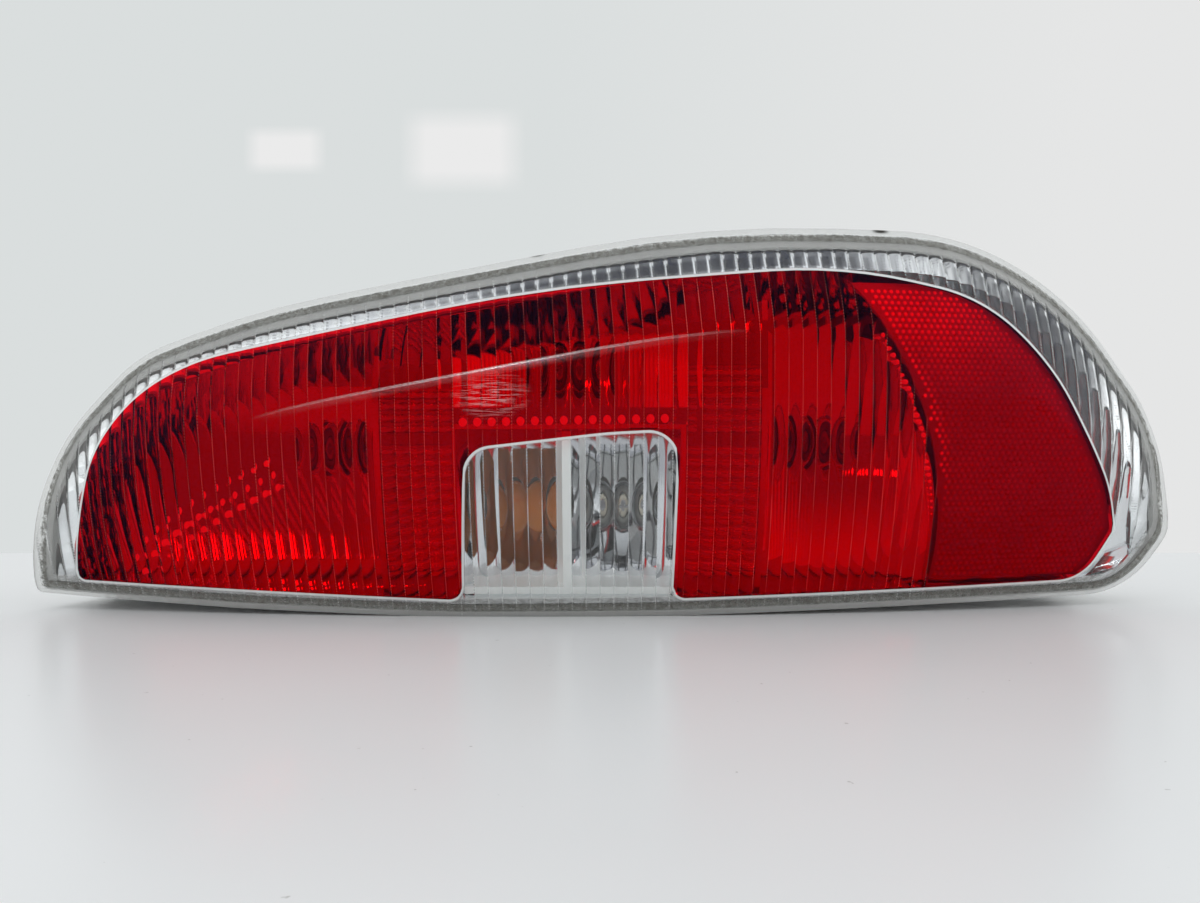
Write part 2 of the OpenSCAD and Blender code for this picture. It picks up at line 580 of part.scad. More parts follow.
// A tapered peg finds its hole in the body
module peg(p, y0) {
    rod(p[0], p[1], y0, mount_y, 6);
    rod(p[0], p[1], mount_y - 1, mount_y + 8, 4);
    translate([p[0], mount_y + 8, p[1]]) rotate([-90, 0, 0]) cylinder(r1 = 4, r2 = 2.4, h = 4, $fn = 48);
}
module catch_block(x, z, y0) {
    translate([x, y0, z - latch_w * 0.7]) cube([6, housing_y + 5 - y0, latch_w * 1.4]);
}

module carrier_gasket() {
    color([0.12, 0.12, 0.12]) in_place() slab(housing_y, carrier_y) difference() {
        carrier_shape(0);
        carrier_shape(-seat_w + 0.5);
    }
}

socket_y = carrier_y - 12;
plug_x = -84 * grow_x;
plug_z = 96 * grow_z;
plug_wall = 1.8;
plug_seat = 3;
plug_front = carrier_back + plug_seat;
// The carrier holds every socket, the connector and two spring latches at each end
module bulb_carrier() {
    color([0.86, 0.86, 0.84]) in_place() difference() {
        union() {
            slab(carrier_y, carrier_back) carrier_shape(0);
            slab(carrier_back - 0.5, carrier_back + 4) difference() {
                carrier_shape(-1);
                carrier_shape(-3);
            }
            for (b = bulbs) rod(b[0], b[1], socket_y, carrier_back, socket_r);
            translate([plug_x - plug_w / 2 - plug_wall, carrier_y + 1, plug_z - plug_h / 2 - plug_wall])
                cube([plug_w + 2 * plug_wall, plug_front + plug_d - carrier_y - 1, plug_h + 2 * plug_wall]);
            for (z = latch_zs) {
                latch(carrier_left, z, 0);
                latch(carrier_end, z, 1);
            }
        }
        for (b = bulbs) rod(b[0], b[1], socket_y - 1, carrier_back + 1, base_d / 2 + socket_clear);
        translate([plug_x - plug_w / 2, plug_front, plug_z - plug_h / 2]) cube([plug_w, plug_d + 1, plug_h]);
    }
}
latch_t = 1.8;
// A latch rises from the plate, bows outwards and hooks over a catch of the housing
module latch(x, z, flip) {
    translate([x, 0, z]) mirror([flip, 0, 0]) {
        translate([-latch_t, carrier_y, -latch_w / 2]) cube([latch_t + 1, 8, latch_w]);
        translate([-9, carrier_y + 6.3, -latch_w / 2]) cube([9, latch_t, latch_w]);
        translate([-9, carrier_y + 3.3, -latch_w / 2]) cube([latch_t, 4, latch_w]);
    }
}

// Brass strips lie on the back of the carrier: one common strip with a branch to each bulb
common_z = carrier_low + 10 * grow_z;
branch_w = 6;
module contact_strips() {
    color([0.8, 0.65, 0.3]) in_place() slab(carrier_back, carrier_back + strip_t) {
        translate([tail_bulb[0] - branch_w / 2, common_z - branch_w / 2])
            square([fog_bulb[0] - tail_bulb[0] + branch_w, branch_w]);
        for (b = bulbs) translate([b[0], b[1]]) {
            circle(base_d / 2 + 1.5, $fn = 48);
            translate([-branch_w / 2, common_z - b[1]]) square([branch_w, b[1] - common_z]);
        }
    }
}
pin_pitch = plug_w / (pin_count + 1);
module connector_pins() {
    color([0.8, 0.75, 0.6]) in_place() for (i = [1:pin_count])
        translate([plug_x - plug_w / 2 + pin_pitch * i - 1, plug_front, plug_z - 0.4])
            cube([2, plug_d - 6, 0.8]);
}

// A bulb stands in its socket with its glass towards the lens
base_back = carrier_back - 0.2;
base_front = base_back - base_l;
glass_t = 0.8;
glass_r = glass_d / 2;
neck_r = base_d / 2 - 1;
module along_bulb(b) {
    in_place() translate([b[0], base_front, b[1]]) rotate([90, 0, 0]) children();
}
module bulb_outline(less) {
    intersection() {
        union() {
            translate([0, glass_r * 1.5]) circle(glass_r - less, $fn = 64);
            translate([0, -less]) square([neck_r - less, glass_r * 1.5]);
        }
        translate([0, -less]) square([glass_r * 2, glass_r * 4]);
    }
}
module bulb_glass(b) {
    along_bulb(b) rotate_extrude($fn = 64) difference() {
        bulb_outline(0);
        bulb_outline(glass_t);
    }
}
// Two wires rise from a glass bead and hold the coil between them
module bulb_filament(b) {
    rise = glass_r * 1.35;
    along_bulb(b) {
        cylinder(r = 3, h = 5, $fn = 32);
        for (x = [-2, 2]) translate([x, 0, 4]) rotate([0, x * 3, 0]) cylinder(r = 0.4, h = rise - 4, $fn = 16);
        translate([-4, 0, rise]) rotate([0, 90, 0]) cylinder(r = 0.7, h = 8, $fn = 16);
    }
}
module bulb_base(b) {
    pin_r = 1;
    along_bulb(b) translate([0, 0, -base_l]) cylinder(d = base_d, h = base_l - 0.05, $fn = 64);
    along_bulb(b) translate([0, 0, base_front - socket_y - 5]) rotate([90, 0, 0])
        translate([0, 0, -base_d / 2 - 0.2]) cylinder(r = pin_r, h = base_d + 0.4, $fn = 24);
}

seal_edge = 2;
seal_w = 5;
module body_seal() {
    color([0.1, 0.1, 0.1]) in_place() slab(housing_y, mount_y - 0.5) difference() {
        polygon([for (p = rear(seal_edge, seal_edge)) xz(p)]);
        polygon([for (p = rear(seal_edge + seal_w, seal_edge + seal_w)) xz(p)]);
    }
}
module stud_seals() {
    color([0.2, 0.2, 0.2]) in_place() for (x = stud_xs) difference() {
        rod(x, stud_high, boss_y, mount_y - 0.2, boss_r - 0.5);
        rod(x, stud_high, boss_y - 1, mount_y + 1, collar_r + seat_gap);
    }
}
module mounting_studs() {
    tip = stud_d / 2 - 1;
    color([0.75, 0.72, 0.6]) in_place() for (x = stud_xs) {
        rod(x, stud_high, boss_y - stud_depth, boss_y + 1, shank_r);
        rod(x, stud_high, mount_y - 1, mount_y + stud_l - 1, stud_d / 2);
        rod(x, stud_high, boss_y, mount_y, collar_r);
        translate([x, mount_y + stud_l - 1, stud_high]) rotate([-90, 0, 0])
            cylinder(r1 = stud_d / 2, r2 = tip, h = 1, $fn = 48);
    }
}
module vent_caps() {
    color([0.14, 0.14, 0.14]) in_place() for (v = vent_spots) {
        rod(v[0], v[1], housing_y, housing_y + 5, vent_r);
        rod(v[0], v[1], housing_y - housing_t - 1, housing_y + 1, vent_r - 3 - seat_gap);
    }
}

lens_clear();
lens_red();
reflex_reflector();
reflector();
window_frame();
housing();
bulb_carrier();
carrier_gasket();
contact_strips();
connector_pins();
color([1, 1, 1, 0.5]) bulb_glass(tail_bulb);  // bulb_tail_glass
color("gray") bulb_filament(tail_bulb);  // bulb_tail_filament
color("silver") bulb_base(tail_bulb);  // bulb_tail_base
color([1, 1, 1, 0.5]) bulb_glass(stop_bulb);  // bulb_stop_glass
color("gray") bulb_filament(stop_bulb);  // bulb_stop_filament
color("silver") bulb_base(stop_bulb);  // bulb_stop_base
color([1, 0.55, 0.1]) bulb_glass(indicator_bulb);  // bulb_indicator_glass
color("gray") bulb_filament(indicator_bulb);  // bulb_indicator_filament
color("silver") bulb_base(indicator_bulb);  // bulb_indicator_base
color([1, 1, 1, 0.5]) bulb_glass(reverse_bulb);  // bulb_reverse_glass
color("gray") bulb_filament(reverse_bulb);  // bulb_reverse_filament
color("silver") bulb_base(reverse_bulb);  // bulb_reverse_base
color([1, 1, 1, 0.5]) bulb_glass(fog_bulb);  // bulb_fog_glass
color("gray") bulb_filament(fog_bulb);  // bulb_fog_filament
color("silver") bulb_base(fog_bulb);  // bulb_fog_base
body_seal();
stud_seals();
mounting_studs();
vent_caps();
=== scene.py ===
import math

import bpy
import numpy as np
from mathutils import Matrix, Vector


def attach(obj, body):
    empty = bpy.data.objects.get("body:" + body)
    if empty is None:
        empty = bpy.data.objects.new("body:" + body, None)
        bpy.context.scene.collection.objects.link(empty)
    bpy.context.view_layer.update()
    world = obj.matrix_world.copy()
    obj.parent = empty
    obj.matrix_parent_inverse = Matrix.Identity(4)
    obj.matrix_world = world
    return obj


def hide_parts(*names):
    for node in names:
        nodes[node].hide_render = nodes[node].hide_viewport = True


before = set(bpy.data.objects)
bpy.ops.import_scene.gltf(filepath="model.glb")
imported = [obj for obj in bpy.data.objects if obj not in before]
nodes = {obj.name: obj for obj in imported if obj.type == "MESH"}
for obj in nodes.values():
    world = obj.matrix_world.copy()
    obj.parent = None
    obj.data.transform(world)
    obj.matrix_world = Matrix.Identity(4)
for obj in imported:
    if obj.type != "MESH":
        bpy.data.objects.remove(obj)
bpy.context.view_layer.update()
mm = 0.001
# Lamp coordinates have the front of the lens at depth 0 and the lower edge at height 0
frameShift = np.array([0.0, 106.0, 62.0])


# Outlines and face of the lens in millimetres, as in the construction
lensSet = {
    "corners": [[-266.5, 8, 3.5], [-64, -2.5, 3000], [252, 6, 37], [274, 36, 15], [270.5, 85.5, 120],
                [221, 146, 150], [164.5, 174, 130], [48, 174.5, 650], [-153.5, 137, 500],
                [-210, 118, 68], [-245.5, 84.5, 120], [-258.5, 56.5, 200]],
    "windowCorners": [[-61.5, 8, 6.3], [-58, 75.5, 13], [3.4, 82.5, 210], [34, 84, 13], [32.5, 8.5, 5.8]],
    "redCorners": [[228.5, 14, 20], [241, 38, 0.5], [235.5, 57, 120], [202, 114, 160], [170, 142, 90],
                   [106, 155, 250], [-28.5, 143.5, 870], [-187.5, 112.5, 120], [-225, 84, 90],
                   [-239, 31, 150], [-242, 15, 3.4]],
    "nose": 3,
    "wall": 2.6,
    "pitch": 6.2,
    "fluteDepth": 0.6,
    "colsPerFlute": 8,
    "plainEdge": 10.0,
    "plainLow": 2.0,
    "lean": 0.075,
    "shoulder": 47.0,
    "rowSplits": [4, 5, 5, 5, 5, 5, 5, 4, 3, 4],
    "bowMid": -30,
    "bowRadius": 1020,
    "leanTop": 108,
    "leanRadius": 196,
    "roundFrom": 15,
    "roundOver": 80,
    "edgeSlope": 0.12,
    "edgeRadius": 80,
    "creaseX": [-230, -150, -60, 0, 60, 150, 240],
    "creaseZ": [60, 88, 108, 118, 125, 127, 90],
    "reflexCentre": (-20.0, 35.0),
    "reflexRadius": 171.0,
}


def unit(v):
    return v / np.linalg.norm(v)


def filletPoints(a, b, c, wantedR, steps):
    u, w = unit(a - b), unit(c - b)
    turn = math.acos(max(-1, min(1, float(np.dot(unit(b - a), unit(c - b))))))
    half = math.pi / 2 - turn / 2
    t = min(wantedR / math.tan(half), 0.49 * np.linalg.norm(a - b), 0.49 * np.linalg.norm(c - b))
    r = t * math.tan(half)
    p = b + u * t
    mid = b + unit(u + w) * r / math.sin(half)
    side = np.sign(np.cross(b - a, c - b))
    start = math.atan2(p[1] - mid[1], p[0] - mid[0])
    return [mid + r * np.array([math.cos(start + side * turn * j / steps),
                                math.sin(start + side * turn * j / steps)]) for j in range(steps + 1)]


def outlineOf(corners, turnDeg=3.0):
    pts = []
    n = len(corners)
    for i in range(n):
        a, b, c = (np.array(corners[(i + k) % n][:2], float) for k in (-1, 0, 1))
        turn = math.degrees(math.acos(max(-1, min(1, float(np.dot(unit(b - a), unit(c - b)))))))
        for p in filletPoints(a, b, c, corners[i][2], max(2, math.ceil(turn / turnDeg))):
            pts.append((p[0], p[1], i))
    return np.array(pts)


def drawnIn(corners, top, low):
    n = len(corners)
    out = []
    for i in range(n):
        b = np.array(corners[i][:2], float)
        u = unit(np.array(corners[i - 1][:2], float) - b)
        w = unit(np.array(corners[(i + 1) % n][:2], float) - b)
        g1 = low if (i - 1) % n < lensSet["nose"] else top
        g2 = low if i < lensSet["nose"] else top
        p = b + (w * g1 + u * g2) / abs(np.cross(u, w))
        out.append([p[0], p[1], max(corners[i][2] - (g1 + g2) / 2, 1)])
    return out


def segmentDist(x, z, loop, closed=True):
    a = loop[:, :2]
    b = np.roll(a, -1, axis=0)
    if not closed:
        a, b = a[:-1], b[:-1]
    best = np.full(np.shape(x), 1e9)
    for p, q in zip(a, b):
        d = q - p
        t = np.clip(((x - p[0]) * d[0] + (z - p[1]) * d[1]) / max(d @ d, 1e-9), 0, 1)
        best = np.minimum(best, np.hypot(x - p[0] - t * d[0], z - p[1] - t * d[1]))
    return best


edgeLoop = outlineOf(lensSet["corners"])
opticLoop = outlineOf(drawnIn(lensSet["corners"], lensSet["plainEdge"], lensSet["plainLow"]))
jointLoop = outlineOf(lensSet["windowCorners"] + lensSet["redCorners"])
upperLine = np.vstack([edgeLoop[edgeLoop[:, 2] >= lensSet["nose"]], edgeLoop[:1]])


def smoothStep(t):
    s = np.clip(t, 0, 1)
    return s * s * (3 - 2 * s)


def faceDepth(x, z):
    s = lensSet
    bow = (x - s["bowMid"]) ** 2 / (2 * s["bowRadius"])
    lean = np.maximum(s["leanTop"] - z, 0) ** 2 / (2 * s["leanRadius"])
    d = np.maximum(s["shoulder"] - segmentDist(x, z, upperLine, False), 0)
    rounded = s["edgeSlope"] * d + d * d / (2 * s["edgeRadius"])
    return bow + lean + smoothStep((z - s["roundFrom"]) / s["roundOver"]) * rounded


def creaseHeight(x):
    return np.interp(x, lensSet["creaseX"], lensSet["creaseZ"])


# The flutes stand upright below the crease and lean over above it, so the grid is drawn unleaned
def leaned(x, z):
    return x - lensSet["lean"] * np.maximum(z - creaseHeight(x), 0) * smoothStep((190 - x) / 60)


def unleaned(x, z):
    guess = x
    for _ in range(12):
        guess = guess + (x - leaned(guess, z))
    return guess


def unleanedLoop(loop):
    fine = []
    for p, q in zip(loop, np.roll(loop, -1, axis=0)):
        n = max(1, int(np.hypot(*(q[:2] - p[:2])) / 2.0))
        fine += [p[:2] + (q[:2] - p[:2]) * k / n for k in range(n)]
    fine = np.array(fine)
    return np.column_stack([unleaned(fine[:, 0], fine[:, 1]), fine[:, 1]])


def crossings(loop, x):
    a, b = loop, np.roll(loop, -1, axis=0)
    hit = ((a[:, 0] - x) * (b[:, 0] - x) <= 0) & (a[:, 0] != b[:, 0])
    a, b = a[hit], b[hit]
    return a[:, 1] + (b[:, 1] - a[:, 1]) * (x - a[:, 0]) / (b[:, 0] - a[:, 0])


def lensGrid():
    s = lensSet
    edge, joint, optic = (unleanedLoop(p) for p in (edgeLoop, jointLoop, opticLoop))
    step = s["pitch"] / s["colsPerFlute"]
    left, right = edge[:, 0].min() + 0.3, edge[:, 0].max() - 0.3
    ks = np.arange(math.ceil((left + 0.3) / step), math.floor((right - 0.3) / step) + 1)
    cols = np.concatenate([[left], ks * step, [right]])
    cuspShare = np.concatenate([[0], np.abs((ks / s["colsPerFlute"]) % 1 - 0.5) * 2, [0]])
    foot, windowX, windowEnd, windowH = 8.0, -61.5, 32.5, 83.0
    c0 = int(np.argmin(np.abs(cols - windowX - 1.2)))
    c1 = int(np.argmin(np.abs(cols - windowEnd - 0.5)))
    jl, jr = joint[:, 0].min() + 0.6, joint[:, 0].max() - 0.6

    def shares(x):
        e, r = crossings(edge, x), crossings(joint, x)
        return [(r.min() - e.min()) / np.ptp(e), (r.max() - e.min()) / np.ptp(e)]

    ends = [shares(jl), shares(jr)]
    main = []
    redCols = []
    for i, x in enumerate(cols):
        e, r = crossings(edge, x), crossings(joint, x)
        low, high = e.min(), e.max()
        tall = high - low
        if len(r) > 1 and np.ptp(r) > 1.0 and jl - 0.7 <= x <= jr + 0.7:
            redCols.append(i)
        else:
            k = ends[0] if x < 0 else ends[1]
            r = np.array([low + k[0] * tall, low + k[1] * tall])
        o = crossings(optic, x)
        o = o.max() if len(o) > 1 else high - 0.2 * tall
        border = max(o, r.max() + 0.5 * (high - r.max()))
        inside, side = c0 < i < c1, i in (c0, c1)
        z1 = foot + 1 if inside else foot + 6 if side else r.min()
        z4 = r.min() if inside else windowH - 21 if side else z1 + (r.max() - z1) * 0.45
        over = z4 + max(0, min(windowH + 1 - z4, 0.25 * (r.max() - z4)))
        rest = r.max() - over
        main.append([low, z1, z1 + (z4 - z1) / 3, z1 + (z4 - z1) * 2 / 3, z4, over + rest / 3,
                     over + rest * 2 / 3, r.max(), border, border + 0.4 * (high - border), high])
    main = np.array(main)
    stops = np.concatenate([[0], np.cumsum(s["rowSplits"])])
    levels = []
    for k in range(len(s["rowSplits"])):
        for j in range(stops[k], stops[k + 1]):
            share = (j - stops[k]) / (stops[k + 1] - stops[k])
            levels.append(main[:, k] + (main[:, k + 1] - main[:, k]) * share)
    zs = np.column_stack(levels + [main[:, -1]])
    xs = np.repeat(cols[:, None], zs.shape[1], axis=1)
    for j in range(stops[1], stops[4] + 1):
        xs[c0, j] = windowX + 3.5 * (zs[c0, j] - foot) / (windowH - 7.5 - foot)
        xs[c1, j] = windowEnd + 1.5 * (zs[c1, j] - foot) / (windowH + 1 - foot)
    xs = leaned(xs, zs)
    red = np.zeros((len(cols) - 1, zs.shape[1] - 1), bool)
    red[min(redCols):max(redCols), stops[1]:stops[7]] = True
    red[c0:c1, stops[1]:stops[4]] = False
    flute = np.repeat(cuspShare[:, None], zs.shape[1], axis=1)
    inZone = (xs > 0) & (np.hypot(xs - s["reflexCentre"][0], zs - s["reflexCentre"][1]) > s["reflexRadius"])
    behind = np.ones_like(zs)
    behind[:, :stops[1]] = smoothStep((zs[:, :stops[1]] - zs[:, :1] - s["plainLow"]) / 1.0)
    behind[:, stops[8] + 1:] = 0
    behind[inZone & (np.arange(zs.shape[1])[None, :] <= stops[7])] = 0
    return xs, zs, flute, behind, red


gridX, gridZ, fluteShare, fluteOn, redCells = lensGrid()
gridY = faceDepth(gridX, gridZ)
edgeGap = segmentDist(gridX, gridZ, edgeLoop)
jointGap = segmentDist(gridX, gridZ, jointLoop)
creaseGap = lensSet["shoulder"] - segmentDist(gridX, gridZ, upperLine, False)
print("stage: lens grid", gridX.shape)


def makeObject(name, verts, faces, attributes=None, smooth=True):
    mesh = bpy.data.meshes.new(name)
    mesh.from_pydata((np.asarray(verts) - frameShift) * mm if len(verts) else [], [], faces)
    for key, values in (attributes or {}).items():
        layer = mesh.attributes.new(key, "FLOAT", "POINT")
        layer.data.foreach_set("value", np.asarray(values, np.float32))
    mesh.validate()
    mesh.update()
    if smooth:
        mesh.shade_smooth()
    obj = bpy.data.objects.new(name, mesh)
    bpy.context.scene.collection.objects.link(obj)
    return obj


def lensSheet(name, cells):
    cols, rows = gridX.shape
    n = cols * rows
    idx = np.arange(n).reshape(cols, rows)
    padded = np.pad(cells, 1)
    faces = []
    for i, j in zip(*np.nonzero(cells)):
        a, b, c, d = idx[i, j], idx[i + 1, j], idx[i + 1, j + 1], idx[i, j + 1]
        faces += [(a, b, c, d), (a + n, d + n, c + n, b + n)]
        for has, p, q in ((padded[i, j + 1], d, a), (padded[i + 2, j + 1], b, c),
                          (padded[i + 1, j], a, b), (padded[i + 1, j + 2], c, d)):
            if not has:
                faces.append((p, p + n, q + n, q))
    used = np.unique([v for f in faces for v in f])
    order = {int(v): k for k, v in enumerate(used)}
    faces = [tuple(order[int(v)] for v in f) for f in faces]
    flat = lambda g: np.concatenate([g.ravel(), g.ravel()])[used]
    back = np.concatenate([np.zeros(n), np.ones(n)])[used]
    verts = np.column_stack([flat(gridX), flat(gridY) + back * lensSet["wall"], flat(gridZ)])
    return makeObject(name, verts, faces, {
        "fluteShare": flat(fluteShare),
        "fluteOn": flat(fluteOn) * back,
        "onBack": back,
        "fluteZone": flat(fluteOn),
        "edgeGap": flat(edgeGap),
        "jointGap": flat(jointGap),
        "creaseGap": flat(creaseGap)})


def addNode(tree, kind, inputs=None, **props):
    node = tree.nodes.new(kind)
    for key, value in props.items():
        setattr(node, key, value)
    for key, value in (inputs or {}).items():
        socket = node.inputs[key]
        if isinstance(value, bpy.types.NodeSocket):
            tree.links.new(value, socket)
        else:
            socket.default_value = value
    return node


def maths(tree, operation, a, b=0.0, c=0.0):
    return addNode(tree, "ShaderNodeMath", {0: a, 1: b, 2: c}, operation=operation).outputs[0]


def newMaterial(name):
    material = bpy.data.materials.new(name)
    material.use_nodes = True
    material.node_tree.nodes.clear()
    return material, material.node_tree


def objectCoords(tree, scale):
    coords = addNode(tree, "ShaderNodeTexCoord")
    return addNode(tree, "ShaderNodeMapping", {"Vector": coords.outputs["Object"], "Scale": scale}).outputs[0]


def noise(tree, scale, detail=3.0, rough=0.5, stretch=(1, 1, 1)):
    return addNode(tree, "ShaderNodeTexNoise", {
        "Vector": objectCoords(tree, stretch), "Scale": scale, "Detail": detail,
        "Roughness": rough}).outputs["Fac"]


def remap(tree, value, low, high, toLow=0.0, toHigh=1.0):
    return addNode(tree, "ShaderNodeMapRange", {"Value": value, "From Min": low, "From Max": high,
                                                "To Min": toLow, "To Max": toHigh}).outputs[0]


def mixColour(tree, factor, a, b):
    node = addNode(tree, "ShaderNodeMix", data_type="RGBA")
    for socket, value in ((node.inputs[0], factor), (node.inputs[6], a), (node.inputs[7], b)):
        if isinstance(value, bpy.types.NodeSocket):
            tree.links.new(value, socket)
        else:
            socket.default_value = value
    return node.outputs[2]


def attribute(tree, name):
    return addNode(tree, "ShaderNodeAttribute", attribute_name=name, attribute_type="GEOMETRY").outputs["Fac"]


def output(tree, shader):
    addNode(tree, "ShaderNodeOutputMaterial", {"Surface": shader})


def mixShader(tree, factor, a, b):
    return addNode(tree, "ShaderNodeMixShader", {0: factor, 1: a, 2: b}).outputs[0]


def solidShader(tree, colour, rough, **more):
    inputs = {"Base Color": colour, "Roughness": rough}
    inputs.update(more)
    return addNode(tree, "ShaderNodeBsdfPrincipled", inputs).outputs[0]


def fromPoint(tree, x, z):
    return addNode(tree, "ShaderNodeVectorMath", {0: objectCoords(tree, (1, 0, 1)), 1: (x, 0, z)},
                   operation="SUBTRACT").outputs[0]


def vectorLength(tree, vector):
    return addNode(tree, "ShaderNodeVectorMath", {0: vector}, operation="LENGTH").outputs["Value"]


def product(tree, *values):
    total = values[0]
    for value in values[1:]:
        total = maths(tree, "MULTIPLY", total, value)
    return total


# Share of a round patch: 1 at its middle, 0 at its rim; middle and reach in metres
def patchMask(tree, x, z, reachX, reachZ):
    scaled = addNode(tree, "ShaderNodeVectorMath", {0: fromPoint(tree, x, z), 1: (1 / reachX, 0, 1 / reachZ)},
                     operation="MULTIPLY").outputs[0]
    return remap(tree, vectorLength(tree, scaled), 0.3, 1.0, 1.0, 0.0)


# Along the crease the moulding has a thin polished ridge, with a patch of fine hatching beside it
def creaseGlare(tree, shader, strength):
    signed = attribute(tree, "creaseGap")
    gap = maths(tree, "ABSOLUTE", signed)
    under = product(tree, remap(tree, signed, -glareSet["below"], 0.0), remap(tree, signed, 0.4, 0.0), 0.3)
    ridge = remap(tree, gap, glareSet["core"], glareSet["width"], 1.0, 0.0)
    broken = remap(tree, noise(tree, 700.0, 3.0, 0.6, (1, 1, 4)), 0.35, 0.6, 0.35, 1.0)
    hatch = remap(tree, noise(tree, 900.0, 2.0, 0.6, (0.12, 1, 2.2)), 0.52, 0.6, 0.0, 1.0)
    patch = patchMask(tree, *glareSet["hatchAt"], *glareSet["hatchReach"])
    spread = patchMask(tree, *glareSet["ridgeAt"], *glareSet["ridgeReach"])
    ridge = maths(tree, "MAXIMUM", ridge, under)
    mask = product(tree, ridge, broken, spread, strength)
    mask = maths(tree, "MAXIMUM", mask, product(tree, hatch, patch, 0.6 * strength))
    bump = addNode(tree, "ShaderNodeBump", {"Strength": 1.0, "Distance": 0.00022, "Height": ridge}).outputs[0]
    glossy = addNode(tree, "ShaderNodeBsdfAnisotropic", {"Color": (1, 1, 1, 1), "Roughness": 0.16, "Normal": bump})
    return mixShader(tree, mask, shader, glossy.outputs[0])


glareSet = {"core": 0.15, "width": 0.8, "below": 3.2, "hatchAt": (-0.046, 0.0365), "hatchReach": (0.018, 0.011),
            "ridgeAt": (-0.043, 0.045), "ridgeReach": (0.115, 0.05)}
acrylicIor = 1.49
# Distances from the edge or the joint in millimetres, between which each band of the rim comes or goes
weldSet = {"jointLine": (0.9, 1.3), "outer": (3.0, 3.6), "inner": (7.0, 6.2), "outerLip": (2.6, 3.2),
           "lipFrom": (6.6, 7.2), "lipTo": (9.6, 10.6)}
edgeChips = [(-0.186, 0.0668, 0.0024), (-0.225, 0.0487, 0.0019), (-0.0285, 0.0998, 0.0026),
             (0.1265, 0.1118, 0.0022)]


# Painted reflection of the dark room in the middles of the rim flutes: crisp at the top, long drops at the right
def rimPaintedReflection(tree):
    place = addNode(tree, "ShaderNodeSeparateXYZ", {0: objectCoords(tree, (1, 1, 1))})
    x, z = place.outputs[0], place.outputs[2]
    middle = remap(tree, attribute(tree, "fluteShare"), 0.6, 0.85, 1.0, 0.0)
    inBand = product(tree, remap(tree, attribute(tree, "edgeGap"), *rimSet["bandFrom"]),
                     remap(tree, attribute(tree, "jointGap"), *rimSet["bandTo"]))
    region = maths(tree, "MAXIMUM", remap(tree, z, 0.035, 0.042), remap(tree, x, 0.12, 0.13))
    weight = maths(tree, "MULTIPLY", remap(tree, x, *rimSet["rise"]), remap(tree, x, *rimSet["fall"], 1.0, 0.3))
    weight = maths(tree, "ADD", weight, remap(tree, x, *rimSet["drops"], 0.0, 0.6))
    weight = maths(tree, "MULTIPLY", weight, remap(tree, x, *rimSet["end"], 1.0, 0.0))
    broken = remap(tree, noise(tree, 60.0, 2.0), 0.35, 0.6, 0.7, 1.0)
    return product(tree, middle, inBand, region, weight, broken, attribute(tree, "onBack"))


# Colour of the painted reflection; gaps to the edge and to the joint in millimetres, stretches along the rim in
# metres
rimSet = {"colour": (0.015, 0.022, 0.055, 1), "bandFrom": (11.0, 12.2), "bandTo": (1.6, 2.6),
          "rise": (-0.11, -0.02), "fall": (0.1, 0.13), "drops": (0.15, 0.175), "end": (0.222, 0.24)}


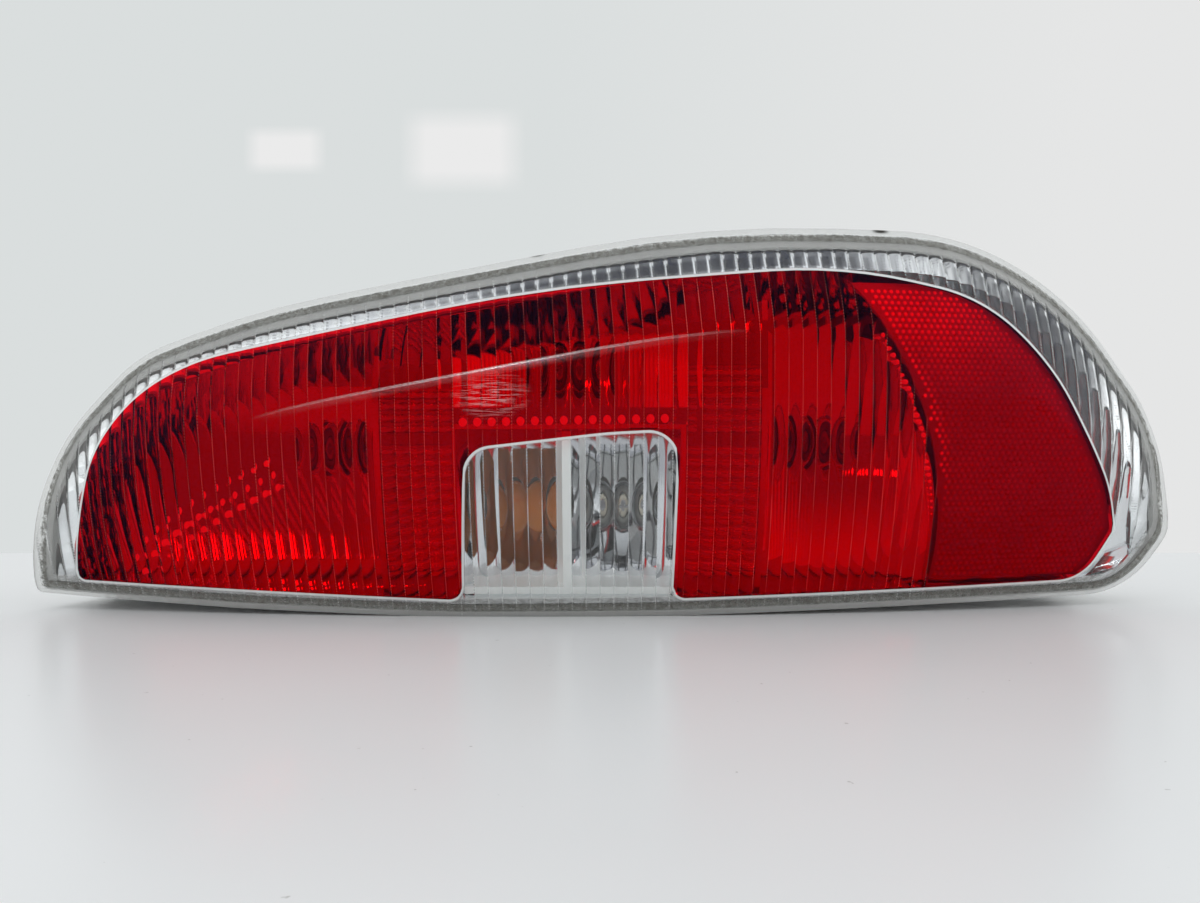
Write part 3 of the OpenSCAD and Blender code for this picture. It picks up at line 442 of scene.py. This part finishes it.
def lensMaterial(name, tint, shineAndHighlight, isRed):
    material, tree = newMaterial(name)
    scratch = noise(tree, 260.0, 5.0, 0.7, (1, 1, 9))
    height = maths(tree, "ADD", maths(tree, "MULTIPLY", noise(tree, 900.0, 4.0), 0.3),
                   maths(tree, "MULTIPLY", scratch, 0.7))
    bump = addNode(tree, "ShaderNodeBump", {"Strength": 0.05, "Distance": 0.0002, "Height": height}).outputs[0]
    rough = remap(tree, noise(tree, 40.0, 4.0), 0.35, 0.75, 0.01, 0.035)
    through = addNode(tree, "ShaderNodeBsdfRefraction", {
        "Color": tint, "Roughness": rough, "IOR": acrylicIor, "Normal": bump}).outputs[0]
    shine = addNode(tree, "ShaderNodeBsdfAnisotropic", {
        "Color": shineAndHighlight["shine"], "Roughness": 0.04, "Normal": bump}).outputs[0]
    edgeOn = addNode(tree, "ShaderNodeFresnel", {"IOR": acrylicIor, "Normal": bump}).outputs[0]
    shader = mixShader(tree, maths(tree, "MULTIPLY", edgeOn, shineAndHighlight["shineShare"]), through, shine)
    # Painted highlights in dotted lines along the valleys between flutes, stronger in one painted patch
    nearCusp = remap(tree, attribute(tree, "fluteShare"), 1 - shineAndHighlight["width"], 1 - 0.35 * shineAndHighlight["width"])
    heights = addNode(tree, "ShaderNodeSeparateXYZ", {"Vector": objectCoords(tree, (1, 1, 1))}).outputs[2]
    wave = maths(tree, "SINE", maths(tree, "MULTIPLY", heights, 2 * math.pi / shineAndHighlight["period"]))
    dots = remap(tree, wave, -0.2, 0.3, shineAndHighlight["low"], 1.0)
    along = remap(tree, noise(tree, 60.0, 2.0), 0.35, 0.6, 0.4, 1.0)
    boost = patchMask(tree, *shineAndHighlight["highlightPatchAt"], *shineAndHighlight["highlightPatchReach"])
    share = remap(tree, boost, 0.0, 1.0, shineAndHighlight["share"], 0.9)
    mask = product(tree, nearCusp, dots, attribute(tree, "fluteZone"), along, share)
    shader = mixShader(tree, mask, shader, solidShader(tree, shineAndHighlight["colour"], 0.3))
    if isRed:
        shader = creaseGlare(tree, shader, 0.5)
    else:
        # The white line beside the joint, and the dusty weld line under the rim
        line = remap(tree, attribute(tree, "jointGap"), *weldSet["jointLine"], 0.8, 0.0)
        shader = mixShader(tree, line, shader, solidShader(tree, (0.86, 0.87, 0.86, 1), 0.25))
        gap = attribute(tree, "edgeGap")
        inside = maths(tree, "MULTIPLY", remap(tree, gap, *weldSet["outer"]), remap(tree, gap, *weldSet["inner"]))
        dust = remap(tree, noise(tree, 420.0, 5.0, 0.75), 0.46, 0.62)
        dusty = maths(tree, "MULTIPLY", inside, remap(tree, dust, 0, 1, 0.25, 0.9))
        grime = mixColour(tree, dust, (0.42, 0.42, 0.38, 1), (0.1, 0.095, 0.08, 1))
        shader = mixShader(tree, dusty, shader, solidShader(tree, grime, 0.75))
        # Frosted lips on both sides of the weld line
        innerLip = product(tree, remap(tree, gap, *weldSet["lipFrom"]),
                           remap(tree, gap, *weldSet["lipTo"], 0.22, 0.0))
        lips = maths(tree, "ADD", remap(tree, gap, *weldSet["outerLip"], 0.32, 0.0), innerLip)
        shader = mixShader(tree, lips, shader, solidShader(tree, (0.85, 0.85, 0.82, 1), 0.4))
        # Painted dark reflection of the room in the rim flutes
        shader = mixShader(tree, rimPaintedReflection(tree), shader, solidShader(tree, rimSet["colour"], 0.12))
        # Knocked spots on the outer edge
        for x, z, reach in edgeChips:
            chip = product(tree, patchMask(tree, x, z, 2 * reach, reach), remap(tree, gap, 1.4, 2.0, 1.0, 0.0))
            shader = mixShader(tree, chip, shader, solidShader(tree, (0.03, 0.027, 0.022, 1), 0.8))
    output(tree, shader)
    return material


def plainMaterial(name, colour, rough, metallic=0.0, grain=0.0, grainScale=400.0, wear=0.0, **more):
    material, tree = newMaterial(name)
    patch = noise(tree, 14.0, 5.0, 0.6)
    dark = tuple(c * (1 - wear) for c in colour[:3]) + (1,)
    bump = addNode(tree, "ShaderNodeBump", {"Strength": max(grain, 0.02), "Distance": 0.0003,
                                            "Height": noise(tree, grainScale, 4.0)}).outputs[0]
    inputs = {"Base Color": mixColour(tree, remap(tree, patch, 0.35, 0.7), colour, dark),
              "Roughness": remap(tree, noise(tree, 55.0, 4.0), 0.3, 0.7, rough * 0.8, min(rough * 1.25, 1)),
              "Metallic": metallic, "Normal": bump}
    inputs.update(more)
    output(tree, addNode(tree, "ShaderNodeBsdfPrincipled", inputs).outputs[0])
    return material


# Painted glints and a faint glow on the prism tips, with the red painted lighter where lit: most of all at the top
# and along the border of the zone
def reflexMaterial():
    material, tree = newMaterial("reflexRed")
    g = glintSet
    reach = vectorLength(tree, fromPoint(tree, *g["ringCentre"]))
    border = product(tree, remap(tree, reach, *g["ring"], 1.0, 0.0), patchMask(tree, *g["ringAt"], *g["ringReach"]))
    lit = maths(tree, "MAXIMUM", patchMask(tree, *g["topAt"], *g["topReach"]), g["least"])
    lit = maths(tree, "MULTIPLY", lit, remap(tree, noise(tree, 30.0, 3.0), 0.3, 0.65, 0.5, 1.0))
    spot = maths(tree, "MAXIMUM", lit, border)
    spot = maths(tree, "MULTIPLY", remap(tree, attribute(tree, "tip"), 0.25, 0.6), spot)
    # The red is painted lighter where lit, and the prism tips pale and glowing
    plain = mixColour(tree, lit, (0.5, 0.0, 0.006, 1), (1.0, 0.02, 0.03, 1))
    colour = mixColour(tree, spot, plain, (1.0, 0.6, 0.55, 1))
    output(tree, solidShader(tree, colour, 0.2, **{"Emission Color": colour,
                                                   "Emission Strength": maths(tree, "MULTIPLY", spot, g["glow"])}))
    return material


# Places in metres in the frame: the arc that bounds the zone, and the stretch of it and the top that are painted as
# lit
glintSet = {"ringCentre": (-0.02, -0.027), "ring": (0.174, 0.182), "ringAt": (0.148, 0.035),
            "ringReach": (0.1, 0.06), "topAt": (0.14, 0.085), "topReach": (0.09, 0.06), "least": 0.25, "glow": 0.8}


# Shine, and painted highlights along the flute valleys, of each colour of the lens
redShineAndHighlight = {"shine": (0.8, 0.4, 1, 1), "shineShare": 0.16, "width": 0.055, "period": 0.0013,
              "low": 0.05, "share": 0.42, "colour": (0.9, 0.16, 0.12, 1), "highlightPatchAt": (0.045, 0.075),
              "highlightPatchReach": (0.035, 0.022)}
clearShineAndHighlight = {"shine": (1, 1, 1, 1), "shineShare": 0.7, "width": 0.09, "period": 0.0013,
                "low": 0.1, "share": 0.7, "colour": (0.8, 0.82, 0.82, 1), "highlightPatchAt": (-0.013, -0.01),
                "highlightPatchReach": (0.05, 0.05)}
materials = {
    "clear": lensMaterial("clearLens", (0.985, 0.99, 0.988, 1), clearShineAndHighlight, False),
    "red": lensMaterial("redLens", (0.86, 0.045, 0.07, 1), redShineAndHighlight, True),
    "chrome": plainMaterial("mirrorCoat", (0.86, 0.87, 0.89, 1), 0.05, 1.0, 0.03, 120.0, 0.05),
    "reflex": reflexMaterial(),
    # The white frame glows faintly as painted light, since little light reaches it behind the lens
    "white": plainMaterial("whiteFramePaintedGlow", (0.93, 0.94, 0.92, 1), 0.35, 0.0, 0.05, 500.0, 0.06,
                           **{"Emission Color": (0.95, 1.0, 1.0, 1), "Emission Strength": 0.16}),
    # The beads glow faintly as painted highlights
    "bead": plainMaterial("beadGlint", (0.93, 0.93, 0.92, 1), 0.15, 0.0, 0.05, 500.0, 0.06,
                          **{"Emission Color": (1.0, 0.8, 0.75, 1), "Emission Strength": 0.55}),
    "grey": plainMaterial("housingGrey", (0.52, 0.52, 0.5, 1), 0.5, 0.0, 0.25, 700.0, 0.2),
    "carrier": plainMaterial("carrierWhite", (0.66, 0.66, 0.62, 1), 0.45, 0.0, 0.12, 500.0, 0.1),
    "rubber": plainMaterial("gasketRubber", (0.02, 0.02, 0.02, 1), 0.75, 0.0, 0.3, 600.0, 0.2),
    "brass": plainMaterial("stripBrass", (0.78, 0.58, 0.27, 1), 0.32, 1.0, 0.08, 300.0, 0.25),
    "tinned": plainMaterial("pinTinned", (0.75, 0.74, 0.7, 1), 0.3, 1.0, 0.05, 300.0, 0.1),
    "foam": plainMaterial("sealFoam", (0.03, 0.03, 0.032, 1), 0.9, 0.0, 0.8, 900.0, 0.3),
    "zinc": plainMaterial("studZinc", (0.72, 0.7, 0.62, 1), 0.35, 1.0, 0.08, 400.0, 0.15),
    "wire": plainMaterial("filamentWire", (0.4, 0.4, 0.42, 1), 0.35, 1.0, 0.05, 400.0, 0.1),
    "bulbBase": plainMaterial("bulbBaseMetal", (0.78, 0.72, 0.58, 1), 0.3, 1.0, 0.06, 300.0, 0.2),
    "glass": plainMaterial("bulbClear", (0.97, 0.97, 0.97, 1), 0.01, 0.0, 0.02, 60.0, 0.0,
                           **{"Transmission Weight": 1.0, "IOR": 1.5}),
    "amber": plainMaterial("bulbAmber", (1.0, 0.36, 0.03, 1), 0.02, 0.0, 0.02, 60.0, 0.0,
                           **{"Transmission Weight": 0.6, "IOR": 1.5}),
}


def dress(node, key):
    mesh = nodes[node].data
    mesh.materials.clear()
    mesh.materials.append(materials[key])


for node, key in (("reflex_reflector", "reflex"), ("reflector", "chrome"), ("window_frame", "white"),
                  ("housing", "grey"), ("bulb_carrier", "carrier"), ("carrier_gasket", "rubber"),
                  ("contact_strips", "brass"), ("connector_pins", "tinned"), ("body_seal", "foam"),
                  ("stud_seals", "rubber"), ("mounting_studs", "zinc"), ("vent_caps", "rubber")):
    dress(node, key)
for bulb in ("tail", "stop", "indicator", "reverse", "fog"):
    dress(f"bulb_{bulb}_glass", "amber" if bulb == "indicator" else "glass")
    dress(f"bulb_{bulb}_filament", "wire")
    dress(f"bulb_{bulb}_base", "bulbBase")
print("stage: materials")


def nodeGroup(name, sockets):
    tree = bpy.data.node_groups.new(name, "GeometryNodeTree")
    tree.interface.new_socket("Geometry", in_out="INPUT", socket_type="NodeSocketGeometry")
    for key, kind in sockets:
        tree.interface.new_socket(key, in_out="INPUT", socket_type=kind)
    tree.interface.new_socket("Geometry", in_out="OUTPUT", socket_type="NodeSocketGeometry")
    return tree, addNode(tree, "NodeGroupInput")


def named(tree, key):
    return addNode(tree, "GeometryNodeInputNamedAttribute", {"Name": key}, data_type="FLOAT").outputs[0]


def finishTree(tree, source, geometry):
    real = addNode(tree, "GeometryNodeRealizeInstances", {"Geometry": geometry})
    painted = addNode(tree, "GeometryNodeSetMaterial", {"Geometry": real.outputs[0],
                                                        "Material": source.outputs["Material"]})
    addNode(tree, "NodeGroupOutput", {"Geometry": painted.outputs[0]})
    return tree


# Flutes are cut into the back of each lens sheet
def fluteTree():
    tree, source = nodeGroup("fluteCutter", [("Depth", "NodeSocketFloat"), ("Material", "NodeSocketMaterial")])
    share = named(tree, "fluteShare")
    depth = product(tree, share, share, named(tree, "fluteOn"), source.outputs["Depth"], -1.0)
    offset = addNode(tree, "ShaderNodeCombineXYZ", {1: depth}).outputs[0]
    moved = addNode(tree, "GeometryNodeSetPosition", {"Geometry": source.outputs["Geometry"], "Offset": offset})
    return finishTree(tree, source, moved.outputs[0])


def applyTree(obj, tree, values):
    modifier = obj.modifiers.new("tree", "NODES")
    modifier.node_group = tree
    for item in tree.interface.items_tree:
        if item.in_out == "INPUT" and item.name in values:
            modifier[item.identifier] = values[item.name]
    graph = bpy.context.evaluated_depsgraph_get()
    mesh = bpy.data.meshes.new_from_object(obj.evaluated_get(graph), preserve_all_data_layers=True,
                                           depsgraph=graph)
    obj.modifiers.clear()
    old = obj.data
    obj.data = mesh
    bpy.data.meshes.remove(old)
    return obj


flutes = fluteTree()
for name, cells, key, node, slot in (("lensClearSheet", ~redCells, "clear", "lens_clear", "clear_lens"),
                                     ("lensRedSheet", redCells, "red", "lens_red", "red_lens")):
    sheet = lensSheet(name, cells)
    applyTree(sheet, flutes, {"Depth": lensSet["fluteDepth"] * mm, "Material": materials[key]})
    sheet.data.set_sharp_from_angle(angle=math.radians(25))
    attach(sheet, "root")
    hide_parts(node)
    print("stage:", name, len(sheet.data.polygons))


# Prisms stand on the plate behind the reflex zone, one on each loose point of the support mesh
reflexSet = {"low": 17.0, "high": 148.0, "gap": 0.5, "pitch": 2.9, "depth": 0.85, "back": 3.0, "margin": 1.6,
             "rows": 66, "cols": 30}
centreX, centreZ = lensSet["reflexCentre"]


def borderX(z):
    return centreX + np.sqrt(np.maximum((lensSet["reflexRadius"] + 1) ** 2 - (z - centreZ) ** 2, 0))


def jointX(z):
    rows = jointLoop[:, [1, 0]]
    return np.array([crossings(rows, v).max() for v in np.atleast_1d(z)]) - 1.0


def reflexSupport():
    r = reflexSet
    zs = np.linspace(r["low"], r["high"], r["rows"] + 1)
    share = np.linspace(0, 1, r["cols"] + 1)
    left, right = borderX(zs), jointX(zs)
    gx = left[None, :] + (right - left)[None, :] * share[:, None]
    gz = np.repeat(zs[None, :], r["cols"] + 1, axis=0)
    front = faceDepth(gx, gz) + lensSet["wall"] + r["gap"] + r["depth"]
    n = gx.size
    idx = np.arange(n).reshape(gx.shape)
    faces = []
    for i in range(r["cols"]):
        for j in range(r["rows"]):
            a, b, c, d = idx[i, j], idx[i + 1, j], idx[i + 1, j + 1], idx[i, j + 1]
            faces += [(a, b, c, d), (a + n, d + n, c + n, b + n)]
    ring = list(idx[:, 0]) + list(idx[-1, 1:]) + list(idx[-2::-1, -1]) + list(idx[0, -2:0:-1])
    faces += [(q, p, p + n, q + n) for p, q in zip(ring, ring[1:] + ring[:1])]
    verts = [np.column_stack([gx.ravel(), y.ravel(), gz.ravel()]) for y in (front, front + r["back"] - r["depth"])]
    seats = []
    for row, z in enumerate(np.arange(r["low"] + 1.5, r["high"] - 1.5, r["pitch"] * 0.866)):
        x0, x1 = float(borderX(z)) + r["margin"], float(jointX(z)[0]) - r["margin"]
        steps = np.arange(math.ceil(x0 / r["pitch"]), math.floor(x1 / r["pitch"]))
        xs = steps * r["pitch"] + (row % 2) * r["pitch"] / 2
        seats += [(x, z) for x in xs if x0 <= x <= x1]
    seats = np.array(seats)
    sx, sz = seats[:, 0], seats[:, 1]
    base = faceDepth(sx, sz) + lensSet["wall"] + r["gap"] + r["depth"]
    slopeX = (faceDepth(sx + 0.5, sz) - faceDepth(sx - 0.5, sz))
    slopeZ = (faceDepth(sx, sz + 0.5) - faceDepth(sx, sz - 0.5))
    verts = np.vstack(verts + [np.column_stack([sx, base, sz])])
    isSeat = np.concatenate([np.zeros(2 * n), np.ones(len(seats))])
    pad = np.zeros(2 * n)
    return makeObject("reflexPlate", verts, faces, {
        "isSeat": isSeat, "slopeX": np.concatenate([pad, slopeX]), "slopeZ": np.concatenate([pad, slopeZ])}, False)


# Copies of a shape turned to lie on the slope stored at each loose point
def seatTree(name, makeShape):
    tree, source = nodeGroup(name, [("Width", "NodeSocketFloat"), ("Height", "NodeSocketFloat"),
                                    ("Material", "NodeSocketMaterial")])
    seat = addNode(tree, "FunctionNodeCompare", {0: named(tree, "isSeat"), 1: 0.5}, data_type="FLOAT",
                   operation="GREATER_THAN").outputs[0]
    parts = addNode(tree, "GeometryNodeSeparateGeometry", {
        "Geometry": source.outputs["Geometry"], "Selection": seat})
    outward = addNode(tree, "ShaderNodeCombineXYZ", {0: named(tree, "slopeX"), 1: -1.0, 2: named(tree, "slopeZ")})
    turn = addNode(tree, "FunctionNodeAlignRotationToVector", {"Vector": outward.outputs[0]}, axis="Z").outputs[0]
    points = addNode(tree, "GeometryNodeMeshToPoints", {"Mesh": parts.outputs[0]})
    placed = addNode(tree, "GeometryNodeInstanceOnPoints", {
        "Points": points.outputs[0], "Instance": makeShape(tree, source), "Rotation": turn})
    joined = addNode(tree, "GeometryNodeJoinGeometry")
    tree.links.new(parts.outputs[1], joined.inputs[0])
    tree.links.new(placed.outputs[0], joined.inputs[0])
    return finishTree(tree, source, joined.outputs[0])


def prismShape(tree, source):
    cone = addNode(tree, "GeometryNodeMeshCone", {
        "Vertices": 6, "Radius Top": 0.0, "Radius Bottom": source.outputs["Width"],
        "Depth": source.outputs["Height"]}, fill_type="NONE")
    place = addNode(tree, "GeometryNodeInputPosition").outputs[0]
    height = addNode(tree, "ShaderNodeSeparateXYZ", {0: place}).outputs[2]
    tip = maths(tree, "DIVIDE", height, source.outputs["Height"])
    marked = addNode(tree, "GeometryNodeStoreNamedAttribute", {
        "Geometry": cone.outputs[0], "Name": "tip", "Value": tip}, data_type="FLOAT", domain="POINT").outputs[0]
    return addNode(tree, "GeometryNodeSetShadeSmooth", {"Geometry": marked, "Shade Smooth": False}).outputs[0]


def beadShape(tree, source):
    ball = addNode(tree, "GeometryNodeMeshUVSphere", {"Segments": 12, "Rings": 8, "Radius": 1.0})
    size = addNode(tree, "ShaderNodeCombineXYZ", {0: source.outputs["Width"], 1: source.outputs["Height"],
                                                  2: source.outputs["Width"]}).outputs[0]
    return addNode(tree, "GeometryNodeTransform", {"Geometry": ball.outputs[0], "Scale": size}).outputs[0]


reflexPlate = reflexSupport()
applyTree(reflexPlate, seatTree("prismField", prismShape), {
    "Width": reflexSet["pitch"] / math.sqrt(3) * mm * 0.97, "Height": reflexSet["depth"] * mm * 0.95,
    "Material": materials["reflex"]})
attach(reflexPlate, "root")
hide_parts("reflex_reflector")
print("stage: reflexPlate", len(reflexPlate.data.polygons))


# Glowing beads on the reflector, placed as painted highlights: over the window, in a curve in the left chamber and
# along the reflex border
beadSet = {"rowHeight": 88.0, "rowFrom": -58.9, "rowTo": 33.0, "streakFrom": -212.0, "streakTo": -143.0,
           "streakLow": 26.0, "streakRise": 45.0, "borderFrom": 44.0, "borderTo": 126.0, "borderStep": 2.9,
           "borderInset": 3.2}


def beadRow(name, xs, zs, behind, width, height, key):
    y = faceDepth(xs, zs) + lensSet["wall"] + behind
    zero = np.zeros(len(xs))
    row = makeObject(name, np.column_stack([xs, y, zs]), [],
                     {"isSeat": zero + 1, "slopeX": zero, "slopeZ": zero}, False)
    applyTree(row, seatTree(name + "Tree", beadShape), {"Width": width * mm, "Height": height * mm,
                                                        "Material": materials[key]})
    row.data.shade_smooth()
    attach(row, "root")
    print("stage:", name, len(row.data.polygons))


halfPitch = lensSet["pitch"] / 2
rowX = np.arange(beadSet["rowFrom"], beadSet["rowTo"], lensSet["pitch"])
beadRow("windowBeads", rowX, beadSet["rowHeight"] + 0.02 * rowX, 4.0, 1.3, 2.0, "bead")
streakX = np.arange(beadSet["streakFrom"], beadSet["streakTo"], halfPitch)
streakShare = (streakX - beadSet["streakFrom"]) / (beadSet["streakTo"] - beadSet["streakFrom"])
streakZ = beadSet["streakLow"] + beadSet["streakRise"] * streakShare ** 0.7
beadRow("streakBeads", np.concatenate([streakX, streakX + 1.3, streakX + 2.2]),
        np.concatenate([streakZ, streakZ - 6.5, streakZ - 12.0]), 6.0, 0.6, 1.7, "bead")
columnZ = np.arange(beadSet["borderFrom"], beadSet["borderTo"], beadSet["borderStep"])
beadRow("borderBeads", borderX(columnZ) - beadSet["borderInset"], columnZ, 3.4, 0.9, 1.1, "bead")

stageSet = {"floorZ": -0.062, "tableEnd": 0.206, "tableFront": -2.0, "tableSide": 2.5}


def tableMaterial():
    material, tree = newMaterial("tableGloss")
    cloud = remap(tree, noise(tree, 5.0, 3.0), 0.3, 0.7)
    colour = mixColour(tree, cloud, (0.88, 0.89, 0.89, 1), (0.91, 0.915, 0.915, 1))
    specks = remap(tree, noise(tree, 260.0, 2.0), 0.76, 0.79)
    colour = mixColour(tree, maths(tree, "MULTIPLY", specks, 0.5), colour, (0.3, 0.29, 0.27, 1))
    output(tree, solidShader(tree, colour, 0.28, **{"Specular IOR Level": 0.35}))
    return material


z0, y0, y1, x1 = (stageSet[key] for key in ("floorZ", "tableFront", "tableEnd", "tableSide"))
table = bpy.data.objects.new("table", bpy.data.meshes.new("table"))
table.data.from_pydata([(-x1, y0, z0), (x1, y0, z0), (x1, y1, z0), (-x1, y1, z0)], [], [(0, 1, 2, 3)])
table.data.materials.append(tableMaterial())
bpy.context.scene.collection.objects.link(table)

# A low lamp for the crease of the lens
lampSet = {"place": (-0.15, -1.08, 0.25), "target": (0, -0.1, 0.05), "size": (0.2, 0.03), "power": 0.16}
light = bpy.data.lights.new("lampLow", "AREA")
light.shape = "RECTANGLE"
light.size, light.size_y = lampSet["size"]
light.energy = lampSet["power"]
lamp = bpy.data.objects.new("lampLow", light)
lamp.location = lampSet["place"]
aim = Vector(lampSet["target"]) - Vector(lampSet["place"])
lamp.rotation_euler = aim.to_track_quat("-Z", "Y").to_euler()
bpy.context.scene.collection.objects.link(lamp)

world = bpy.data.worlds.new("room")
bpy.context.scene.world = world
world.use_nodes = True
world.node_tree.nodes.clear()
sky = world.node_tree
# The camera sees a pale wall, painted brighter towards the right, with painted reflections of two lamps; the light
# is strongest from both sides
roomSet = {"front": (0.45, 0.455, 0.48, 1), "top": (0.92, 0.94, 0.97, 1), "left": (1.2, 1.22, 1.22, 1),
           "right": (1.35, 1.37, 1.38, 1), "back": (0.72, 0.74, 0.745, 1), "wallLeft": (0.7, 0.73, 0.73, 1),
           "wallRight": (0.785, 0.79, 0.79, 1), "spot": (0.83, 0.83, 0.83, 1),
           "spots": [(-0.315, 0.3015, 0.035, 0.02), (-0.1375, 0.3015, 0.0525, 0.035)]}
direction = addNode(sky, "ShaderNodeTexCoord").outputs["Generated"]
dirX, dirY, dirZ = addNode(sky, "ShaderNodeSeparateXYZ", {"Vector": direction}).outputs
middle = mixColour(sky, remap(sky, dirZ, 0.35, 0.7), roomSet["front"], roomSet["top"])
sides = mixColour(sky, remap(sky, dirX, -0.5, 0.5), roomSet["left"], roomSet["right"])
room = mixColour(sky, remap(sky, maths(sky, "ABSOLUTE", dirX), 0.35, 0.75), middle, sides)
room = mixColour(sky, remap(sky, dirY, 0.0, 0.2), room, roomSet["back"])
# The wall is painted brighter towards the right
wall = mixColour(sky, remap(sky, dirX, -0.05, 0.42), roomSet["wallLeft"], roomSet["wallRight"])
lit = 0.0
# Painted reflections of two lamps on the wall, seen by the camera only
for x, z, wide, tall in roomSet["spots"]:
    dx = maths(sky, "ABSOLUTE", maths(sky, "SUBTRACT", maths(sky, "DIVIDE", dirX, dirY), x))
    dz = maths(sky, "ABSOLUTE", maths(sky, "SUBTRACT", maths(sky, "DIVIDE", dirZ, dirY), z))
    spot = maths(sky, "MULTIPLY", remap(sky, dx, wide * 0.7, wide * 1.2, 1.0, 0.0),
                 remap(sky, dz, tall * 0.6, tall * 1.25, 1.0, 0.0))
    lit = maths(sky, "MAXIMUM", lit, spot)
lit = maths(sky, "MULTIPLY", lit, remap(sky, dirY, 0.1, 0.2))
wall = mixColour(sky, lit, wall, roomSet["spot"])
onCamera = addNode(sky, "ShaderNodeLightPath").outputs["Is Camera Ray"]
addNode(sky, "ShaderNodeOutputWorld", {"Surface": addNode(sky, "ShaderNodeBackground", {
    "Color": mixColour(sky, onCamera, room, wall), "Strength": 1.0}).outputs[0]})

scene = bpy.context.scene
scene.view_settings.view_transform = "Standard"
scene.cycles.max_bounces = 10
scene.cycles.transmission_bounces = 10
camera = bpy.data.objects.new("camera", bpy.data.cameras.new("camera"))
camera.data.lens = 30.0
camera.data.sensor_width = 36.0
camera.location = (0.0, -0.526, 0.0123)
camera.rotation_euler = (math.pi / 2, 0, 0)
scene.collection.objects.link(camera)
scene.camera = camera

print("stage: done")
